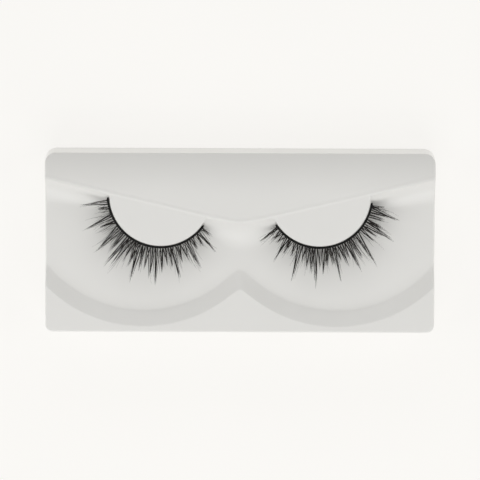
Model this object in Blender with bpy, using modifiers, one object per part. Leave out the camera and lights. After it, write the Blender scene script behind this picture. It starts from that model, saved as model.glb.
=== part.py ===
"""Pair of false eyelash strips on their vacuum-formed tray.

The tray lies face up. +X runs along it, +Y points to its back edge and +Z out of its face,
and z = 0 is the trimmed rim that it rests on. Every size is in metres.
"""

import math
from collections import namedtuple

import bmesh
import bpy
from mathutils import Vector

MM = 0.001

# Tray outline and sheet
FACE_LENGTH = 106.0 * MM
FACE_WIDTH = 49.0 * MM
SHEET = 0.8 * MM
BACK_CORNER = 2.8 * MM
FRONT_CORNER = 2.1 * MM
EDGE_ROUND = 0.35 * MM
SIDE_DRAFT = math.radians(1.5)

# Heights of the face above the rim
FLOOR_HEIGHT = 8.6 * MM
LEDGE_HEIGHT = 11.5 * MM
CREST_HEIGHT = 12.2 * MM
BACK_FALL = 2.0 * MM
BACK_FALL_REACH = 10.0 * MM
LOBE_FALL = 0.45 * MM

# Lobes and the walls of the well
LOBE_RADIUS = 13.5 * MM
LOBE_OUTER_ANGLE = math.radians(-0.5)
LOBE_INNER_ANGLE = math.radians(-154.0)
LOBE_WALL_RUN = 0.9 * MM
SIDE_WALL_RUN = 1.2 * MM
OUTER_POCKET_RUN = 4.0 * MM
MIDDLE_WALL_RUN = 4.6 * MM
POCKET_SPREAD = math.radians(40.0)
SHOULDER_STRIP = 1.2 * MM
FRONT_WALL_RUN = 4.3 * MM
CREST_CUSP = 0.8 * MM
FLOOR_CUSP = 1.5 * MM

# Lines of the relief, as shares of half the face's length and width
ReliefPoint = namedtuple("ReliefPoint", "along across")
SHOULDER_AT_SIDE = ReliefPoint(1.0, 0.715)
SHOULDER_AT_MIDDLE = ReliefPoint(0.0, 0.222)
LOBE_CENTRE = ReliefPoint(0.4075, 0.535)
FRONT_BOW_LOWEST = ReliefPoint(0.498, -0.9306)
FRONT_BOW_MIDDLE = ReliefPoint(0.0, -0.4857)

# Sections of a wall of the well, from its top to its foot
WallStep = namedtuple("WallStep", "run_share drop_share")
BACK_WALL = (
    WallStep(0.0, 0.0),
    WallStep(0.25, 0.72),
    WallStep(0.55, 0.92),
    WallStep(1.0, 1.0),
)
FRONT_WALL = (
    WallStep(0.0, 0.0),
    WallStep(0.72, 0.80),
    WallStep(0.88, 0.95),
    WallStep(1.0, 1.0),
)

# Columns and rows of the face
SIDE_COLUMNS = 6
LOBE_COLUMNS = 24
MIDDLE_COLUMNS = 6
COLUMNS = SIDE_COLUMNS + LOBE_COLUMNS + MIDDLE_COLUMNS
CORNER_STEPS = 2

# Bands of the two strips
BAND_THICKNESS = 0.7 * MM
BAND_DROP = 0.65 * MM
SEAT_GAP = 0.3 * MM
BAND_STEPS = 30

# Hair of the two strips
LASH_LENGTH = 10.8 * MM
LASH_RISE = 0.34
ROOT_THICKNESS = 0.5 * MM
ROOT_LINE_DEPTH = 0.45 * MM
LOCK_WIDTH = 0.62 * MM
LOCK_FILL = 0.72
LOCK_TIP = 0.12 * MM
LOCK_SECTIONS = 4

# Locks of each strip, from its outer end to its inner end: the place along the band and the
# length are shares, and the lean from straight out is in degrees towards the inner end
Lock = namedtuple("Lock", "place lean length")
LEFT_LOCKS = (
    Lock(0.035, -1.6, 0.72),
    Lock(0.088, -15.0, 0.36),
    Lock(0.155, -1.0, 0.77),
    Lock(0.204, -13.0, 0.48),
    Lock(0.259, 5.0, 0.83),
    Lock(0.309, 4.0, 0.59),
    Lock(0.362, -8.0, 0.96),
    Lock(0.387, -7.0, 0.86),
    Lock(0.411, -3.0, 0.60),
    Lock(0.434, 4.0, 0.66),
    Lock(0.459, 7.0, 1.00),
    Lock(0.486, 8.0, 0.64),
    Lock(0.518, 4.5, 0.62),
    Lock(0.552, 3.3, 0.76),
    Lock(0.590, 0.6, 0.95),
    Lock(0.620, 0.2, 0.66),
    Lock(0.650, 3.0, 0.49),
    Lock(0.680, 1.0, 0.59),
    Lock(0.710, -0.7, 0.86),
    Lock(0.748, -4.0, 0.52),
    Lock(0.783, -2.6, 0.49),
    Lock(0.816, 1.9, 0.80),
    Lock(0.854, 4.0, 0.34),
    Lock(0.908, -10.0, 0.40),
    Lock(0.936, -2.0, 0.70),
    Lock(0.968, 9.0, 0.27),
)
RIGHT_LOCKS = (
    Lock(0.024, -6.5, 0.38),
    Lock(0.056, 4.5, 0.75),
    Lock(0.105, -3.5, 0.48),
    Lock(0.142, 1.7, 0.52),
    Lock(0.169, 0.5, 0.87),
    Lock(0.210, -5.7, 0.50),
    Lock(0.243, -5.3, 0.53),
    Lock(0.275, 12.0, 0.95),
    Lock(0.340, 0.6, 0.62),
    Lock(0.371, 4.4, 0.85),
    Lock(0.401, 7.0, 0.48),
    Lock(0.438, -3.0, 0.61),
    Lock(0.462, -1.8, 0.44),
    Lock(0.486, 2.0, 0.91),
    Lock(0.510, 2.0, 0.46),
    Lock(0.534, 9.0, 0.56),
    Lock(0.558, 7.9, 0.74),
    Lock(0.592, 0.8, 0.56),
    Lock(0.621, -2.0, 0.96),
    Lock(0.652, -3.8, 0.66),
    Lock(0.680, -7.0, 0.58),
    Lock(0.706, 1.0, 0.45),
    Lock(0.746, -6.5, 0.92),
    Lock(0.778, -3.0, 0.41),
    Lock(0.822, 3.0, 0.42),
    Lock(0.850, -1.0, 0.68),
    Lock(0.890, 6.0, 0.31),
    Lock(0.923, 5.6, 0.32),
    Lock(0.963, 5.1, 0.64),
)

# Each strip: the side of the tray that it lies on, and the angles of its two ends on its lobe
Strip = namedtuple("Strip", "name side outer_angle inner_angle locks")
STRIPS = (
    Strip("left", -1, math.radians(-2.7), math.radians(-144.6), LEFT_LOCKS),
    Strip("right", 1, math.radians(-7.6), math.radians(-146.0), RIGHT_LOCKS),
)

# Values that follow from the sizes above
HALF_LENGTH = FACE_LENGTH / 2
HALF_WIDTH = FACE_WIDTH / 2
LOBE_X = LOBE_CENTRE.along * HALF_LENGTH
LOBE_Y = LOBE_CENTRE.across * HALF_WIDTH
LOBE_EDGE_HEIGHT = CREST_HEIGHT - LOBE_FALL
BAND_HEIGHT = LOBE_EDGE_HEIGHT - BAND_DROP
ROOT_HEIGHT = BAND_HEIGHT - (BAND_THICKNESS + ROOT_THICKNESS) / 2 - SEAT_GAP


def clear_scene():
    """Remove every object that the scene starts with."""
    for obj in list(bpy.data.objects):
        bpy.data.objects.remove(obj, do_unlink=True)


def make_collection(name):
    """Return a new collection in the scene."""
    collection = bpy.data.collections.new(name)
    bpy.context.scene.collection.children.link(collection)
    return collection


def make_material(name, colour, roughness):
    """Return a Principled material for a piece that isn't metal."""
    material = bpy.data.materials.new(name)
    material.use_nodes = True
    shader = material.node_tree.nodes["Principled BSDF"]
    shader.inputs["Base Color"].default_value = (*colour, 1.0)
    shader.inputs["Roughness"].default_value = roughness
    shader.inputs["Metallic"].default_value = 0.0
    return material


def make_object(name, bm, collection, material):
    """Turn a bmesh into a named object with its own material, with its normals facing out."""
    bmesh.ops.recalc_face_normals(bm, faces=bm.faces)
    mesh = bpy.data.meshes.new(name)
    bm.to_mesh(mesh)
    bm.free()
    mesh.materials.append(material)
    obj = bpy.data.objects.new(name, mesh)
    collection.objects.link(obj)
    return obj


def lobe_point(radius, angle):
    """Return the point of the right-hand lobe's circle of this radius, at height zero."""
    return Vector((LOBE_X + radius * math.cos(angle), LOBE_Y + radius * math.sin(angle), 0.0))


def mix(start, end, share):
    """Return the number that lies this share of the way from start to end."""
    return start + (end - start) * share


def plateau_height(y):
    """Return the back plateau's height, which falls away towards the back edge."""
    room = max(0.0, 1.0 - (HALF_WIDTH - y) / BACK_FALL_REACH)
    return CREST_HEIGHT - BACK_FALL * room**2


def plan_normals(row, side):
    """Return the level direction square to a row at each point, towards its high side."""
    normals = [Vector((0.0, side, 0.0))]
    for before, after in zip(row, row[2:]):
        along = Vector((after.x - before.x, after.y - before.y, 0.0)).normalized()
        normals.append(Vector((along.y, -along.x, 0.0)) * side)
    normals.append(Vector((0.0, side, 0.0)))
    return normals


def move_under(rows, side, inset):
    """Move a wall's rows, from its top to its foot, square to its skin by an inset."""
    normals = [plan_normals(row, side) for row in rows]
    moved = [[] for row in rows]
    for k in range(len(rows[0])):
        slopes = [0.0]
        for upper, lower, normal in zip(rows, rows[1:], normals):
            run = (upper[k] - lower[k]).dot(normal[k])
            slopes.append(math.atan2(upper[k].z - lower[k].z, run))
        slopes.append(0.0)
        for number, (before, after) in enumerate(zip(slopes, slopes[1:])):
            mean = (before + after) / 2
            reach = inset / math.cos((after - before) / 2)
            point = rows[number][k] + normals[number][k] * (reach * math.sin(mean))
            point.z -= reach * math.cos(mean)
            moved[number].append(point)
    return moved


def shoulder_row(inset):
    """Return the top line of the wall behind the well, from the side edge to the middle."""
    edge = Vector((HALF_LENGTH - inset, SHOULDER_AT_SIDE.across * HALF_WIDTH, 0.0))
    outer = lobe_point(LOBE_RADIUS, LOBE_OUTER_ANGLE)
    inner = lobe_point(LOBE_RADIUS, LOBE_INNER_ANGLE)
    middle_y = SHOULDER_AT_MIDDLE.across * HALF_WIDTH
    row = [edge.lerp(outer, k / SIDE_COLUMNS) for k in range(SIDE_COLUMNS)]
    for k in range(LOBE_COLUMNS):
        angle = mix(LOBE_OUTER_ANGLE, LOBE_INNER_ANGLE, k / LOBE_COLUMNS)
        row.append(lobe_point(LOBE_RADIUS, angle))
    for k in range(MIDDLE_COLUMNS + 1):
        share = 1.0 - k / MIDDLE_COLUMNS
        row.append(Vector((inner.x * share, mix(middle_y, inner.y, share**1.3), 0.0)))
    for k, point in enumerate(row):
        along_lobe = (k - SIDE_COLUMNS) / LOBE_COLUMNS
        on_lobe = 0.0 < along_lobe < 1.0
        sag = LOBE_FALL * math.sin(math.pi * along_lobe) if on_lobe else 0.0
        point.z = plateau_height(point.y) - sag
    return row


def foot_angle(angle, first, last):
    """Return where on a lobe's foot the wall from this angle of its edge comes down.

    It comes straight down, except near the two pockets, where the foot stops short of the
    lobe's ends and the wall's columns draw together.
    """
    outer_end = LOBE_OUTER_ANGLE - POCKET_SPREAD
    inner_end = LOBE_INNER_ANGLE + POCKET_SPREAD
    if angle > outer_end:
        return mix(first, outer_end, (LOBE_OUTER_ANGLE - angle) / POCKET_SPREAD)
    if angle < inner_end:
        return mix(last, inner_end, (angle - LOBE_INNER_ANGLE) / POCKET_SPREAD)
    return angle


def foot_row(shoulder, inset):
    """Return the line where the wall behind the well meets its floor, column by column."""
    outer = shoulder[SIDE_COLUMNS]
    inner = shoulder[SIDE_COLUMNS + LOBE_COLUMNS]
    radius = LOBE_RADIUS + LOBE_WALL_RUN
    first = math.asin((outer.y - OUTER_POCKET_RUN - LOBE_Y) / radius)
    last = -math.pi - math.asin((inner.y - MIDDLE_WALL_RUN - LOBE_Y) / radius)
    outer_foot = lobe_point(radius, first)
    inner_foot = lobe_point(radius, last)
    row = []
    for k in range(SIDE_COLUMNS):
        share = k / SIDE_COLUMNS
        run = mix(SIDE_WALL_RUN, OUTER_POCKET_RUN, share)
        x = mix(HALF_LENGTH - inset, outer_foot.x, share)
        row.append(Vector((x, shoulder[k].y - run, 0.0)))
    for k in range(LOBE_COLUMNS):
        angle = mix(LOBE_OUTER_ANGLE, LOBE_INNER_ANGLE, k / LOBE_COLUMNS)
        row.append(lobe_point(radius, foot_angle(angle, first, last)))
    for k in range(MIDDLE_COLUMNS + 1):
        share = 1.0 - k / MIDDLE_COLUMNS
        y = shoulder[SIDE_COLUMNS + LOBE_COLUMNS + k].y - MIDDLE_WALL_RUN
        row.append(Vector((inner_foot.x * share, y, 0.0)))
    return row


def back_wall_rows(shoulder, foot, inset):
    """Return the rows of the wall behind the well, from its shoulder to its foot."""
    rows = []
    for step in BACK_WALL:
        row = [top.lerp(low, step.run_share) for top, low in zip(shoulder, foot)]
        for point, top in zip(row, shoulder):
            point.z = mix(top.z, FLOOR_HEIGHT, step.drop_share)
        rows.append(row)
    return move_under(rows, 1.0, inset)


def front_wall_rows(inset):
    """Return the rows of the well's front wall, whose two bows meet in a cusp, crest first."""
    centre_x = FRONT_BOW_LOWEST.along * HALF_LENGTH
    lowest = FRONT_BOW_LOWEST.across * HALF_WIDTH
    rise = FRONT_BOW_MIDDLE.across * HALF_WIDTH - lowest
    crest_radius = (centre_x**2 + rise**2) / (2 * rise)
    centre_y = lowest + crest_radius
    rows = []
    for step in FRONT_WALL:
        radius = crest_radius - FRONT_WALL_RUN * step.run_share
        cusp = mix(CREST_CUSP, FLOOR_CUSP, step.run_share)
        first = math.asin((HALF_LENGTH - inset - centre_x) / radius)
        last = -math.asin(centre_x / radius)
        row = []
        for k in range(COLUMNS + 1):
            x = max(0.0, centre_x + radius * math.sin(mix(first, last, k / COLUMNS)))
            y = centre_y - math.sqrt(radius**2 - (math.hypot(x, cusp) - centre_x) ** 2)
            row.append(Vector((x, y, mix(LEDGE_HEIGHT, FLOOR_HEIGHT, step.drop_share))))
        rows.append(row)
    return move_under(rows, -1.0, inset)


def crease_row(shoulder):
    """Return the line across the head of the lobe, a strip's width behind the shoulder."""
    outer = shoulder[SIDE_COLUMNS]
    inner = shoulder[SIDE_COLUMNS + LOBE_COLUMNS]
    row = []
    for k, point in enumerate(shoulder):
        share = (k - SIDE_COLUMNS) / LOBE_COLUMNS
        base = outer.lerp(inner, share) if 0.0 < share < 1.0 else point
        row.append(Vector((base.x, base.y + SHOULDER_STRIP, 0.0)))
    return row


def corner_point(side, corner, inset, turn):
    """Return a point of a rounded corner of the face; turn runs from its side to its edge."""
    radius = corner - inset
    x = HALF_LENGTH - corner + radius * math.cos(turn)
    y = HALF_WIDTH - corner + radius * math.sin(turn)
    return Vector((x, side * y, 0.0))


def edge_rows(side, corner, inset, like, inside):
    """Return the front or back edge and the rows between it and the row inside it."""
    turns = [math.pi / 4 * (1.0 + k / CORNER_STEPS) for k in range(CORNER_STEPS + 1)]
    edge = [corner_point(side, corner, inset, turn) for turn in turns]
    last = edge[-1].x
    for point in like[CORNER_STEPS + 1 :]:
        edge.append(Vector((last * point.x / like[CORNER_STEPS].x, edge[-1].y, 0.0)))
    rows = [edge]
    for k in range(1, CORNER_STEPS + 1):
        share = k / (CORNER_STEPS + 1)
        row = [a.lerp(b, share) for a, b in zip(edge, inside)]
        row[0] = corner_point(side, corner, inset, math.pi / 4 * (1.0 - k / CORNER_STEPS))
        rows.append(row)
    return rows


def face_rows(inset):
    """Return the rows of the right half of the face, from its front edge to its back edge.

    With an inset of nothing they are the tray's outer skin, and with an inset of the sheet's
    thickness its inner skin, row for row.
    """
    shoulder = shoulder_row(inset)
    back_wall = back_wall_rows(shoulder, foot_row(shoulder, inset), inset)
    front_wall = front_wall_rows(inset)
    crease = crease_row(back_wall[0])
    ledge = edge_rows(-1, FRONT_CORNER, inset, front_wall[0], front_wall[0])
    plateau = edge_rows(1, BACK_CORNER, inset, crease, crease)
    near = [a.lerp(b, 0.5) for a, b in zip(crease, plateau[-1])]
    plateau = [crease, near] + plateau[::-1]
    for row in ledge:
        for point in row:
            point.z = LEDGE_HEIGHT - inset
    for row in plateau:
        for point in row:
            point.z = plateau_height(point.y) - inset
    return ledge + front_wall + back_wall[::-1] + plateau


def add_skin(bm, inset):
    """Add one skin of the right half of the tray, face and side wall, and return its loops."""
    grid = [[bm.verts.new(point) for point in row] for row in face_rows(inset)]
    for lower, upper in zip(grid, grid[1:]):
        for k in range(len(lower) - 1):
            bm.faces.new((lower[k], upper[k], upper[k + 1], lower[k + 1]))
    loop = grid[0][::-1] + [row[0] for row in grid[1:-1]] + grid[-1]
    rim = []
    for vert in loop:
        spread = vert.co.z * math.tan(SIDE_DRAFT)
        x = vert.co.x * (1.0 + spread / HALF_LENGTH)
        y = vert.co.y * (1.0 + spread / HALF_WIDTH)
        rim.append(bm.verts.new((x, y, 0.0)))
    join_loops(bm, loop, rim)
    return loop, rim


def join_loops(bm, first, second):
    """Join two open runs of the same number of points with faces."""
    for k in range(len(first) - 1):
        bm.faces.new((first[k], first[k + 1], second[k + 1], second[k]))


def make_tray(collection, material):
    """Loft both skins of the tray's right half, join them at the rim and mirror the half.

    The front ledge is narrower in places than the sheet's corner, where a thickness given to
    one skin would fold over itself, so each skin is lofted from the same lines.
    """
    bm = bmesh.new()
    outer_edge, outer_rim = add_skin(bm, 0.0)
    inner_rim = add_skin(bm, SHEET)[1]
    join_loops(bm, outer_rim, inner_rim)
    rounded = {frozenset(pair) for pair in zip(outer_edge, outer_edge[1:])}
    weight = bm.edges.layers.float.new("bevel_weight_edge")
    for edge in bm.edges:
        if frozenset(edge.verts) in rounded:
            edge[weight] = 1.0
    tray = make_object("tray", bm, collection, material)
    mirror = tray.modifiers.new("Mirror", "MIRROR")
    mirror.merge_threshold = 0.00002
    bevel = tray.modifiers.new("Edge", "BEVEL")
    bevel.limit_method = "WEIGHT"
    bevel.width = EDGE_ROUND
    bevel.segments = 2
    bevel.loop_slide = False
    tray.data.shade_smooth()
    tray.data.set_sharp_from_angle(angle=math.radians(40.0))
    return tray


def band_radius():
    """Return the radius of the band's middle line, a seat gap off the lobe's wall."""
    drop = BAND_DROP + BAND_THICKNESS / 2
    knee = BACK_WALL[1]
    share = drop / (LOBE_EDGE_HEIGHT - FLOOR_HEIGHT) / knee.drop_share * knee.run_share
    return LOBE_RADIUS + LOBE_WALL_RUN * share + SEAT_GAP + BAND_THICKNESS / 2


def strip_point(strip, radius, angle, z):
    """Return a point at this angle and radius about the strip's own lobe."""
    point = lobe_point(radius, angle)
    return Vector((strip.side * point.x, point.y, z))


def make_band(strip, collection, material):
    """Return the strip's cotton band, a round cord bent along its lobe."""
    curve = bpy.data.curves.new("lash_band_" + strip.name, "CURVE")
    curve.dimensions = "3D"
    curve.bevel_depth = BAND_THICKNESS / 2
    curve.bevel_resolution = 2
    curve.use_fill_caps = True
    spline = curve.splines.new("POLY")
    spline.points.add(BAND_STEPS - 1)
    for k, point in enumerate(spline.points):
        angle = mix(strip.outer_angle, strip.inner_angle, k / (BAND_STEPS - 1))
        point.co = (*strip_point(strip, band_radius(), angle, BAND_HEIGHT), 1.0)
    curve.materials.append(material)
    band = bpy.data.objects.new("lash_band_" + strip.name, curve)
    collection.objects.link(band)
    return band


def root_angles(strip, radius):
    """Return the two angles between which each lock grows out of the root line."""
    places = [lock.place for lock in strip.locks]
    neighbours = [0.0] + places + [1.0]
    sweep = strip.inner_angle - strip.outer_angle
    pairs = []
    for k, place in enumerate(places):
        room = min(place - neighbours[k], neighbours[k + 2] - place)
        half = min(LOCK_WIDTH / (2 * radius * abs(sweep)), LOCK_FILL * room / 2)
        pairs.append(
            (
                strip.outer_angle + sweep * (place - half),
                strip.outer_angle + sweep * (place + half),
            )
        )
    return pairs


def lock_ring(bm, strip, lock, root, angle, share):
    """Return the four corners of a lock's section at this share of its length."""
    heading = angle - math.radians(lock.lean)
    out = Vector((strip.side * math.cos(heading), math.sin(heading), 0.0))
    across = Vector((-out.y, out.x, 0.0)) * strip.side
    length = LASH_LENGTH * lock.length
    centre = root + out * (length * share)
    centre.z += LASH_RISE * length * share**2
    slope = 2.0 * LASH_RISE * share
    up = (Vector((0.0, 0.0, 1.0)) - out * slope).normalized()
    width = mix(LOCK_WIDTH, LOCK_TIP, share)
    height = mix(ROOT_THICKNESS, LOCK_TIP, share)
    corners = (
        across * (width / 2) - up * (height / 2),
        across * (width / 2) + up * (height / 2),
        across * (-width / 2) + up * (height / 2),
        across * (-width / 2) - up * (height / 2),
    )
    return [bm.verts.new(centre + corner) for corner in corners]


def bridge(bm, first, second):
    """Join two rings of the same number of corners with faces."""
    count = len(first)
    for k in range(count):
        after = (k + 1) % count
        bm.faces.new((first[k], first[after], second[after], second[k]))


def make_hair(strip, collection, material):
    """Return the strip's fringe: a thin root line with its locks growing out of it."""
    bm = bmesh.new()
    inner = band_radius() - BAND_THICKNESS / 2 + SEAT_GAP / 2
    outer = inner + ROOT_LINE_DEPTH
    low = ROOT_HEIGHT - ROOT_THICKNESS / 2
    high = ROOT_HEIGHT + ROOT_THICKNESS / 2
    pairs = root_angles(strip, outer)
    stations = [strip.outer_angle] + [angle for pair in pairs for angle in pair]
    stations.append(strip.inner_angle)
    sections = []
    for angle in stations:
        spots = ((inner, low), (inner, high), (outer, high), (outer, low))
        sections.append([bm.verts.new(strip_point(strip, r, angle, z)) for r, z in spots])
    for number, (here, there) in enumerate(zip(sections, sections[1:])):
        for k in (0, 1, 3):
            after = (k + 1) % 4
            bm.faces.new((here[k], here[after], there[after], there[k]))
        if number % 2 == 0:
            bm.faces.new((here[2], here[3], there[3], there[2]))
            continue
        lock = strip.locks[number // 2]
        angle = (stations[number] + stations[number + 1]) / 2
        root = strip_point(strip, outer, angle, ROOT_HEIGHT)
        ring = [here[3], here[2], there[2], there[3]]
        for k in range(1, LOCK_SECTIONS + 1):
            after = lock_ring(bm, strip, lock, root, angle, k / LOCK_SECTIONS)
            bridge(bm, ring, after)
            ring = after
        bm.faces.new(ring)
    bm.faces.new(sections[0])
    bm.faces.new(sections[-1])
    return make_object("lash_hair_" + strip.name, bm, collection, material)


def main():
    """Build the tray and the two strips on it."""
    clear_scene()
    collection = make_collection("eyelash_pair_in_tray")
    make_tray(collection, make_material("tray_sheet", (0.86, 0.853, 0.825), 0.35))
    for strip in STRIPS:
        band = make_material("band_cotton_" + strip.name, (0.012, 0.012, 0.012), 0.8)
        hair = make_material("hair_fibre_" + strip.name, (0.02, 0.018, 0.017), 0.45)
        make_band(strip, collection, band)
        make_hair(strip, collection, hair)


if __name__ == "__main__":
    main()
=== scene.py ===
"""Dress a pair of false eyelash strips and the vacuum-formed tray that holds them.

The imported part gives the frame, in metres: +X runs along the tray towards the right-hand
strip, +Y points to its back edge, +Z out of its face, and the tray stands on z = 0.
"""

import logging
import math
from dataclasses import dataclass
from enum import Enum

import bpy
import numpy as np
from mathutils import Matrix, Vector

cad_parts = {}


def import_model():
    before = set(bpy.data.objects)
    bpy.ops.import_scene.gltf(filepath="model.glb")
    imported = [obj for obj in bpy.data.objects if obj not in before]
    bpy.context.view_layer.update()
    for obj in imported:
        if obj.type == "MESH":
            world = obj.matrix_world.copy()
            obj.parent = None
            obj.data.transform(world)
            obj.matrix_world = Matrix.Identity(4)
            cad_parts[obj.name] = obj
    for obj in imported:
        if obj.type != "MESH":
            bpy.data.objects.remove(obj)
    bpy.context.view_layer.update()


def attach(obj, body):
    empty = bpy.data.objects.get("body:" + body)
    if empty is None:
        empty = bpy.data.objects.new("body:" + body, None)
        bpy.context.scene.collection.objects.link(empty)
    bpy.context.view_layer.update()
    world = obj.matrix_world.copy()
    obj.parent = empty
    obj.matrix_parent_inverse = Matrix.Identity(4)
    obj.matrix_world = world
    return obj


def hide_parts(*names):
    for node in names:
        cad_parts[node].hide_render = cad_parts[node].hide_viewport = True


LOG = logging.getLogger("eyelash_tray")
MM = 0.001
BODY = "root"
UP = np.array((0.0, 0.0, 1.0))
HALF_LENGTH = 53.0 * MM
HALF_WIDTH = 24.5 * MM

Colour = tuple[float, float, float]
Row = list[Vector]


class Slot(Enum):
    """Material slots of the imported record."""

    TRAY_SHEET = "tray_sheet"
    BAND_COTTON = "band_cotton"
    LASH_FIBRE = "lash_fibre"


class Side(Enum):
    """The side of the tray that a strip lies on."""

    LEFT = -1
    RIGHT = 1

    @property
    def label(self) -> str:
        """The word that the names of the strip's pieces end with."""
        return self.name.lower()


def mix(start: float, end: float, share: float) -> float:
    """Return the number that lies this share of the way from start to end."""
    return start + (end - start) * share


def unit(vectors: np.ndarray) -> np.ndarray:
    """Return the vectors of an array, each scaled to length one."""
    return vectors / np.maximum(np.linalg.norm(vectors, axis=-1, keepdims=True), 1e-12)


class NodeSheet:
    """A shader node tree that is being wired up."""

    MIX_FACTOR = 0
    MIX_FIRST = 6
    MIX_SECOND = 7
    MIX_RESULT = 2

    def __init__(self, tree: bpy.types.NodeTree) -> None:
        """Start from a tree of a material, a world or a node group."""
        self.tree = tree

    def add(
        self,
        kind: str,
        inputs: dict[str | int, object] | None = None,
        **settings: object,
    ) -> bpy.types.Node:
        """Add a node, set its properties and set or link its inputs.

        Args:
            kind: Blender's name for the type of node.
            inputs: For each input, by name or number, a value or the socket that feeds it.
            settings: Properties of the node, by name.

        Returns:
            The new node.
        """
        node = self.tree.nodes.new(kind)
        for name, value in settings.items():
            setattr(node, name, value)
        self.fill(node, inputs or {})
        return node

    def fill(self, node: bpy.types.Node, inputs: dict[str | int, object]) -> None:
        """Set or link the inputs of a node.

        Args:
            node: The node.
            inputs: For each input, by name or number, a value or the socket that feeds it.
        """
        for key, value in inputs.items():
            if isinstance(value, bpy.types.NodeSocket):
                self.tree.links.new(value, node.inputs[key])
            else:
                node.inputs[key].default_value = value

    def group(self, shared: bpy.types.NodeTree, inputs: dict[str, object]) -> bpy.types.Node:
        """Place a shared node group with its own values.

        Args:
            shared: The node group.
            inputs: For each input of the group, a value or the socket that feeds it.

        Returns:
            The node that holds the group.
        """
        node = self.add("ShaderNodeGroup", node_tree=shared)
        self.fill(node, inputs)
        return node

    def math(self, operation: str, first: object, second: object) -> bpy.types.NodeSocket:
        """Return the result of a sum on two values or sockets."""
        return self.add("ShaderNodeMath", {0: first, 1: second}, operation=operation).outputs[0]

    def blend(self, factor: object, first: object, second: object) -> bpy.types.NodeSocket:
        """Mix two colours.

        Args:
            factor: The second colour's share, as a value or a socket.
            first: A colour or a socket.
            second: A colour or a socket.

        Returns:
            The socket of the mixed colour.
        """
        colours = [(*value, 1.0) if isinstance(value, tuple) else value for value in (first, second)]
        inputs = {self.MIX_FACTOR: factor, self.MIX_FIRST: colours[0], self.MIX_SECOND: colours[1]}
        return self.add("ShaderNodeMix", inputs, data_type="RGBA").outputs[self.MIX_RESULT]


@dataclass(frozen=True)
class SharedEffect:
    """A node group with named inputs and outputs, built once for several finishes."""

    name: str
    inputs: tuple[tuple[str, float], ...]
    outputs: tuple[str, ...]

    def start(self) -> tuple[NodeSheet, bpy.types.Node, bpy.types.Node]:
        """Make the group's sockets.

        Returns:
            The group's sheet, its input node and its output node.
        """
        tree = bpy.data.node_groups.new(self.name, "ShaderNodeTree")
        for name, value in self.inputs:
            socket = tree.interface.new_socket(name, in_out="INPUT", socket_type="NodeSocketFloat")
            socket.default_value = value
        for name in self.outputs:
            tree.interface.new_socket(name, in_out="OUTPUT", socket_type="NodeSocketFloat")
        sheet = NodeSheet(tree)
        return sheet, sheet.add("NodeGroupInput"), sheet.add("NodeGroupOutput")


class Effects:
    """The shared effects of the finishes: fine grain, slow drift of tone and light marks."""

    def __init__(self) -> None:
        """Build each group once."""
        self.grain = self.build_grain()
        self.drift = self.build_drift()
        self.marks = self.build_marks()

    @staticmethod
    def build_grain() -> bpy.types.NodeTree:
        """Build the grain group, a fine pebble over a broader swell, as a height.

        Returns:
            The group.
        """
        effect = SharedEffect("fine_grain", (("Grain Per Metre", 1500.0), ("Swell", 0.3)), ("Height",))
        sheet, given, made = effect.start()
        place = sheet.add("ShaderNodeTexCoord").outputs["Object"]
        fine = sheet.add(
            "ShaderNodeTexNoise",
            {"Vector": place, "Scale": given.outputs["Grain Per Metre"], "Detail": 3.0},
        )
        broad_scale = sheet.math("MULTIPLY", given.outputs["Grain Per Metre"], 0.12)
        broad = sheet.add("ShaderNodeTexNoise", {"Vector": place, "Scale": broad_scale, "Detail": 1.0})
        swell = sheet.math("MULTIPLY", broad.outputs["Fac"], given.outputs["Swell"])
        height = sheet.math("ADD", fine.outputs["Fac"], swell)
        sheet.tree.links.new(height, made.inputs["Height"])
        return sheet.tree

    @staticmethod
    def build_drift() -> bpy.types.NodeTree:
        """Build the drift group, a slow change between two values over the surface.

        Returns:
            The group.
        """
        effect = SharedEffect(
            "tone_drift",
            (("Patches Per Metre", 60.0), ("Low", 0.0), ("High", 1.0)),
            ("Value",),
        )
        sheet, given, made = effect.start()
        place = sheet.add("ShaderNodeTexCoord").outputs["Object"]
        cloud = sheet.add(
            "ShaderNodeTexNoise",
            {"Vector": place, "Scale": given.outputs["Patches Per Metre"], "Detail": 2.0},
        )
        value = sheet.add(
            "ShaderNodeMapRange",
            {
                "Value": cloud.outputs["Fac"],
                "From Min": 0.3,
                "From Max": 0.7,
                "To Min": given.outputs["Low"],
                "To Max": given.outputs["High"],
            },
        )
        sheet.tree.links.new(value.outputs["Result"], made.inputs["Value"])
        return sheet.tree

    @staticmethod
    def build_marks() -> bpy.types.NodeTree:
        """Build the marks group, hairline scuffs that cross the surface, as a mask.

        Returns:
            The group.
        """
        effect = SharedEffect("handling_marks", (("Marks Per Metre", 90.0), ("Reach", 0.02)), ("Mask",))
        sheet, given, made = effect.start()
        place = sheet.add("ShaderNodeTexCoord").outputs["Object"]
        sway = sheet.add("ShaderNodeTexNoise", {"Vector": place, "Scale": 40.0, "Detail": 1.0})
        shifted = sheet.add(
            "ShaderNodeVectorMath",
            {0: sway.outputs["Color"], 1: (0.004, 0.004, 0.004), 2: place},
            operation="MULTIPLY_ADD",
        )
        stretched = sheet.add(
            "ShaderNodeMapping",
            {"Vector": shifted.outputs[0], "Rotation": (0.0, 0.0, 0.6), "Scale": (1.0, 9.0, 9.0)},
        )
        lines = sheet.add(
            "ShaderNodeTexVoronoi",
            {"Vector": stretched.outputs[0], "Scale": given.outputs["Marks Per Metre"]},
            feature="DISTANCE_TO_EDGE",
        )
        mask = sheet.add(
            "ShaderNodeMapRange",
            {
                "Value": lines.outputs["Distance"],
                "From Min": 0.0,
                "From Max": given.outputs["Reach"],
                "To Min": 1.0,
                "To Max": 0.0,
            },
        )
        sheet.tree.links.new(mask.outputs["Result"], made.inputs["Mask"])
        return sheet.tree


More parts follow.
